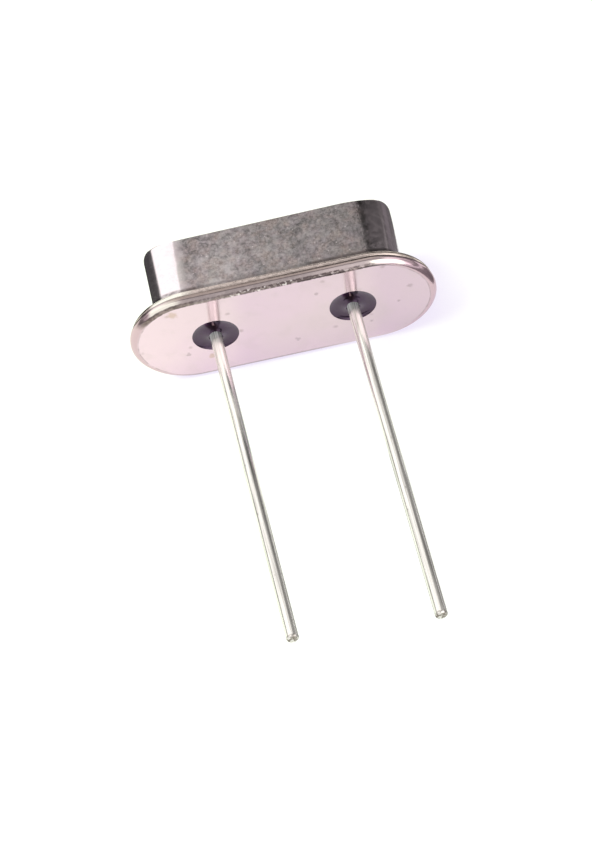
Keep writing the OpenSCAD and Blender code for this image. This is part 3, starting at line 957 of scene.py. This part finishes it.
def wire_lead(lead, lean, heading, centre_x, deck):
    """Rings of one lead from its head's top to its tip, and where each ring lies along the wire.

    A ring of the wire is a circle across the centre line, of the wire's radius up to the tip, where it draws
    in round a quarter circle. The whole lead is then turned to its heading and moved to its place.
    """
    radius, head, top = lead.diameter / 2, lead.head_diameter / 2, deck + lead.head_thickness
    head_section = [
        [0, top], [head * 0.5, top], [head * 0.97, top], [head, top],
        [head, deck], [head * 0.97, deck], [radius * 1.05, deck],
    ]
    line, leans, lengths = lead_path(lead, lean, deck)
    t = np.radians(np.linspace(0, 90, 9))[1:]
    tip_radii = np.append(radius - lead.tip_radius * (1 - np.cos(t)), radius * np.array([0.5, 0.2, 0.0]))
    tip_steps = np.append(lead.tip_radius * (np.sin(t) - 1), [0, 0, 0])
    centres = np.concatenate([line[:-1], line[-1] + tip_steps[:, None] * [math.sin(lean), -math.cos(lean)]])
    leans = np.append(leans[:-1], np.full(len(tip_steps), lean))[:, None]
    radii = np.append(np.full(len(line) - 1, radius), tip_radii)[:, None]
    turn = np.arange(WIRE_SIDES) / WIRE_SIDES * 2 * np.pi
    out = radii * np.cos(turn)
    x, z = centres[:, :1] + np.cos(leans) * out, centres[:, 1:] + np.sin(leans) * out
    wire = np.stack([x, radii * np.sin(turn), z], axis=2)
    grid = np.concatenate([turned(head_section, (0, 0), WIRE_SIDES), wire])
    c, s = math.cos(heading), math.sin(heading)
    grid = grid @ np.array([[c, s, 0], [-s, c, 0], [0, 0, 1]]) + [centre_x, 0, 0]
    head_place = np.linspace(-1.0, -0.9, len(head_section)) * MM
    place = np.concatenate([head_place, lengths[:-1], lengths[-1] + tip_radii[0] - tip_radii]) - deck
    uvs = np.stack(np.broadcast_arrays(turn / (2 * np.pi), place[:, None] / MM), axis=2)
    return grid, uvs.reshape(-1, 2)


class CRYSTAL_OT_leads(bpy.types.Operator):
    """Wire leads: flattened head, straight shank through the glass, slight bend and a cropped end"""

    bl_idname = "crystal.leads"
    bl_label = "Wire leads"

    def execute(self, context):
        base, lead = settings("base", "lead")
        deck = base.thickness + base.plug_height
        leans = {LEFT: (lead.left_lean, lead.left_heading), RIGHT: (lead.right_lean, lead.right_heading)}
        finish = wire_finish(lead)
        for side, name in SIDE_NAMES.items():
            grid, uvs = wire_lead(lead, *leans[side], side * lead.pitch / 2, deck)
            piece = solid_from_sheets(f"wire_lead_{name}", [grid], uvs)
            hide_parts(f"lead_{name}")
            finish.shade(piece)
        return {"FINISHED"}


class CRYSTAL_OT_inner_parts(bpy.types.Operator):
    """Finishes of the clips, the quartz blank, its electrodes and the cement inside the can"""

    bl_idname = "crystal.inner_parts"
    bl_label = "Inner parts"

    def execute(self, context):
        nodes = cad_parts
        strip_finish().shade(nodes["clip_left"], nodes["clip_right"])
        quartz_finish().shade(nodes["quartz_blank"])
        silver_finish().shade(nodes["electrode_top"], nodes["electrode_bottom"])
        cement_finish().shade(nodes["cement_left"], nodes["cement_right"])
        return {"FINISHED"}


# ---------------------------------------------------------------- stage

# Lengths and places of the stage, in metres, apart from the camera's target, in millimetres.
FLOOR_HALF, TENT_RADIUS, CARD_LIFT = 0.8, 0.07, 0.02 * MM
SOFTBOX_PLACE, SOFTBOX_AIM, SOFTBOX_SIZE = (-0.034, 0.008, 0.052), (-0.0005, 0, 0), 0.05
CAMERA_TARGET, CAMERA_CLIP = (-0.33744, -3.14153, -1.58490), (0.005, 5.0)
FLOOR_IN_OWN_LIGHT, TENT_CLOTH, CARD_TINT = (0.85, 0.85, 0.86), (1.0, 0.98, 0.95), (1.0, 0.95, 0.97)
# Cards on the floor: corners in millimetres, height of the flap between the second and the third, and tone.
CARDS = {
    "card_left": ([(-4.8, 1.5), (-14, 6.3), (-14, 14), (-4.8, 6.5)], 3.2, 0.075),
    "card_right": ([(4.8, 1.5), (14, 6.3), (14, 16), (4.8, 9)], 1.0, 0.18),
    "card_between_leads": ([(0.4, -4.7), (4.4, -4.7), (5.4, -14), (1.0, -14)], None, 0.28),
    "card_beside_leads": ([(8.0, 3.2), (22, 3.2), (22, -14), (6.0, -14)], None, 0.28),
}


def floor_material(stage):
    """White floor: part of its white always shows, and the rest is lit, so that it keeps the shadow."""
    f = Finish("pale_floor", "MixShader")
    glow = f.node("Emission", {"Color": stage.floor_glow}).outputs[0]
    lit = f.node("BsdfDiffuse", {"Color": stage.floor_shade}).outputs[0]
    both = f.node("AddShader", {0: glow, 1: lit}).outputs[0]
    plain = f.node("BsdfDiffuse", {"Color": FLOOR_IN_OWN_LIGHT}).outputs[0]
    for socket, value in zip(f.shader.inputs, (f.background_shows(), plain, both)):
        f.put(socket, value)
    return f.owner


def tent_material():
    """Light tent, by the direction x, y, z in which the unit sees it.

    Bright cloth stands left and right under a dimmer roof, which brightens towards the front and the rear.
    The right rear is darker, the wall behind it nearly black, and the cloth is grey low down. near is 1 up
    to the rear wall, whose line steps with the height, and 0 beyond.
    """
    f = Finish("light_tent", "Emission")
    way = f.node("VectorMath", {0: f.own_place()}, operation="NORMALIZE").outputs[0]
    x, y, z = f.axes(way)
    step = z.ramp(0.42, 0.55, 0.0, 0.035) - z.fall(0.06, 0.14, 0.06) * x.ramp(0.6, 0.7)
    near = (y - step).fall(0.61, 0.63)
    over = y.ramp(-0.1, 0.3, 0.5, 1.1) + y.ramp(-0.1, -0.3, 0.0, 0.32)
    glow = near.between(z.ramp(0.3, 0.45, 0.65, 0.2), over)
    front = y.ramp(-0.2, -0.35)
    left = near.between(x.fall(-0.08, -0.03), x.fall(-0.2, -0.12)) * x.ramp(-0.93, -0.88)
    glow = left.between(glow, front.between(1.3, 1.1))
    right = x.ramp(0.08, 0.2) * x.fall(0.8, 0.88) * z.fall(0.8, 0.88)
    glow = right.between(glow, front.between(1.35, 2.0))
    rear = near.between(x.ramp(-0.01, 0.05), x.ramp(0.19, 0.34) * y.ramp(0.25, 0.4))
    edge = x - (y - 0.57) * 0.6
    dim = near.between(x.ramp(0.2, 0.7, 0.045, 0.1), edge.ramp(0.38, 0.56, 0.66, 0.3))
    glow = rear.between(glow, dim)
    aside = abs(x)
    lift = near * y.ramp(0.1, 0.3) * 0.12 + near.between(0.08, 0.0)
    skirt = y.ramp(0.3, 0.1) * aside.ramp(0.86, 0.74, 0.0, 0.1)
    low = (z - lift + skirt).fall(0.1, 0.16) * aside.ramp(0.2, 0.4)
    glow = low.between(glow, near.between(x.ramp(0.4, 0.7, 0.05, 0.13), 0.32))
    return f.set(Color=TENT_CLOTH, Strength=glow).owner


def card_material(name, tone):
    """Grey card whose tone drifts a little over its surface."""
    f = Finish(name, "Emission")
    uneven = f.noise(f.moved(f.own_place(), scale=(1 / MM,) * 3), 0.3)
    return f.set(Color=CARD_TINT, Strength=uneven.spread(tone * 0.8, tone * 1.2)).owner


def stage_surface(name, points, faces, material, gloss_only=True):
    """A surface of the stage. One that only gloss sees shapes reflections and neither lights nor shades."""
    mesh = bpy.data.meshes.new(name)
    mesh.from_pydata(points, [], faces)
    mesh.materials.append(material)
    surface = bpy.data.objects.new(name, mesh)
    bpy.context.scene.collection.objects.link(surface)
    if gloss_only:
        material.cycles.emission_sampling = "NONE"
        for ray in ("camera", "diffuse", "shadow", "transmission", "volume_scatter"):
            setattr(surface, f"visible_{ray}", False)


def light_tent(radius, floor):
    """Half ball about the origin, from the floor up: a quarter circle turned round the upright axis."""
    rise = np.linspace(math.asin(floor / radius), np.pi / 2, 24)
    grid = turned(radius * np.c_[np.cos(rise), np.sin(rise)], (0, 0), 64)
    faces = grid_faces(*grid.shape[:2])[:, ::-1]
    stage_surface("light_tent", grid.reshape(-1, 3).tolist(), faces.tolist(), tent_material())


def floor_card(name, corners, flap, tone, floor):
    """Card that lies just above the floor, with a flap that stands up along its far edge if it has one."""
    low = floor + CARD_LIFT
    points = [(x * MM, y * MM, low) for x, y in corners]
    faces = [(0, 1, 2, 3)]
    if flap:
        points += [(x * MM, y * MM, flap * MM) for x, y in corners[1:3]]
        faces.append((1, 4, 5, 2))
    stage_surface(name, points, faces, card_material(name, tone))


def softbox(power):
    """Square lamp on the left that neither the camera nor a reflection shows."""
    lamp = bpy.data.lights.new("softbox_left", "AREA")
    lamp.shape = "RECTANGLE"
    lamp.size = lamp.size_y = SOFTBOX_SIZE
    lamp.energy = power
    made = bpy.data.objects.new("softbox_left", lamp)
    made.location = SOFTBOX_PLACE
    made.rotation_mode = "QUATERNION"
    made.rotation_quaternion = (Vector(SOFTBOX_AIM) - Vector(SOFTBOX_PLACE)).to_track_quat("-Z", "Y")
    made.visible_camera = False
    made.visible_glossy = False
    bpy.context.scene.collection.objects.link(made)


def world_light(fill):
    """Even grey light from all round, behind a white background."""
    f = Finish("studio", "Background")
    f.set(Color=f.mix(f.background_shows(), (fill,) * 3, (1, 1, 1)))
    bpy.context.scene.world = f.owner


def camera(stage):
    """Camera that looks at the target from its azimuth, elevation and distance, rolled about its view."""
    a, e, roll = stage.camera_azimuth, stage.camera_elevation, stage.camera_roll
    view = Vector((-math.sin(a) * math.cos(e), math.cos(a) * math.cos(e), -math.sin(e)))
    level = view.cross(Vector((0, 0, 1))).normalized()
    upright = level.cross(view)
    up = upright * math.cos(roll) + level * math.sin(roll)
    across = level * math.cos(roll) - upright * math.sin(roll)
    data = bpy.data.cameras.new("camera")
    data.sensor_width = 36.0
    data.lens = stage.camera_lens
    data.clip_start, data.clip_end = CAMERA_CLIP
    made = bpy.data.objects.new("camera", data)
    eye = Vector(CAMERA_TARGET) * MM - view * stage.camera_distance
    made.matrix_world = Matrix.Translation(eye) @ Matrix((across, up, -view)).transposed().to_4x4()
    bpy.context.scene.collection.objects.link(made)
    bpy.context.scene.camera = made


class CRYSTAL_OT_stage(bpy.types.Operator):
    """Pale floor, soft light from the left, a tent and cards that only reflections show, and the camera"""

    bl_idname = "crystal.stage"
    bl_label = "Stage and camera"

    def execute(self, context):
        (stage,) = settings("stage")
        context.scene.view_settings.view_transform = "Standard"
        low = CAD_BOX[0][2]
        corners = [(x * FLOOR_HALF, y * FLOOR_HALF, low) for x, y in ((-1, -1), (1, -1), (1, 1), (-1, 1))]
        stage_surface("floor", corners, [(0, 1, 2, 3)], floor_material(stage), gloss_only=False)
        world_light(stage.room_fill)
        softbox(stage.softbox_power)
        light_tent(TENT_RADIUS, low)
        for name, (outline, flap, tone) in CARDS.items():
            floor_card(name, outline, flap, tone, low)
        camera(stage)
        return {"FINISHED"}


# ---------------------------------------------------------------- panel

SECTIONS = [
    ("Can", "crystal_can", CanSettings, CRYSTAL_OT_can),
    ("Base plate", "crystal_base", BasePlateSettings, CRYSTAL_OT_base_plate),
    ("Glass seals", "crystal_seal", SealSettings, CRYSTAL_OT_seals),
    ("Wire leads", "crystal_lead", LeadSettings, CRYSTAL_OT_leads),
    ("Inner parts", None, None, CRYSTAL_OT_inner_parts),
    ("Stage", "crystal_stage", StageSettings, CRYSTAL_OT_stage),
]
SETTINGS = {name: group for _, name, group, _ in SECTIONS if name}


class CRYSTAL_PT_panel(bpy.types.Panel):
    """Sizes and pieces of the quartz crystal unit"""

    bl_label = "Crystal unit"
    bl_idname = "CRYSTAL_PT_panel"
    bl_space_type = "VIEW_3D"
    bl_region_type = "UI"
    bl_category = "Crystal unit"

    def draw(self, context):
        for title, name, group, operator in SECTIONS:
            box = self.layout.box()
            box.label(text=title)
            if name:
                for key in group.__annotations__:
                    box.prop(getattr(context.scene, name), key)
            box.operator(operator.bl_idname)


CLASSES = [*SETTINGS.values(), *(operator for *_, operator in SECTIONS), CRYSTAL_PT_panel]


def register():
    for made in CLASSES:
        bpy.utils.register_class(made)
    for name, group in SETTINGS.items():
        setattr(bpy.types.Scene, name, PointerProperty(type=group))


def unregister():
    for name in SETTINGS:
        delattr(bpy.types.Scene, name)
    for made in reversed(CLASSES):
        bpy.utils.unregister_class(made)


def main():
    register()
    bpy.ops.crystal.can()
    bpy.ops.crystal.base_plate()
    bpy.ops.crystal.seals()
    bpy.ops.crystal.leads()
    bpy.ops.crystal.inner_parts()
    bpy.ops.crystal.stage()


if __name__ == "__main__":
    main()
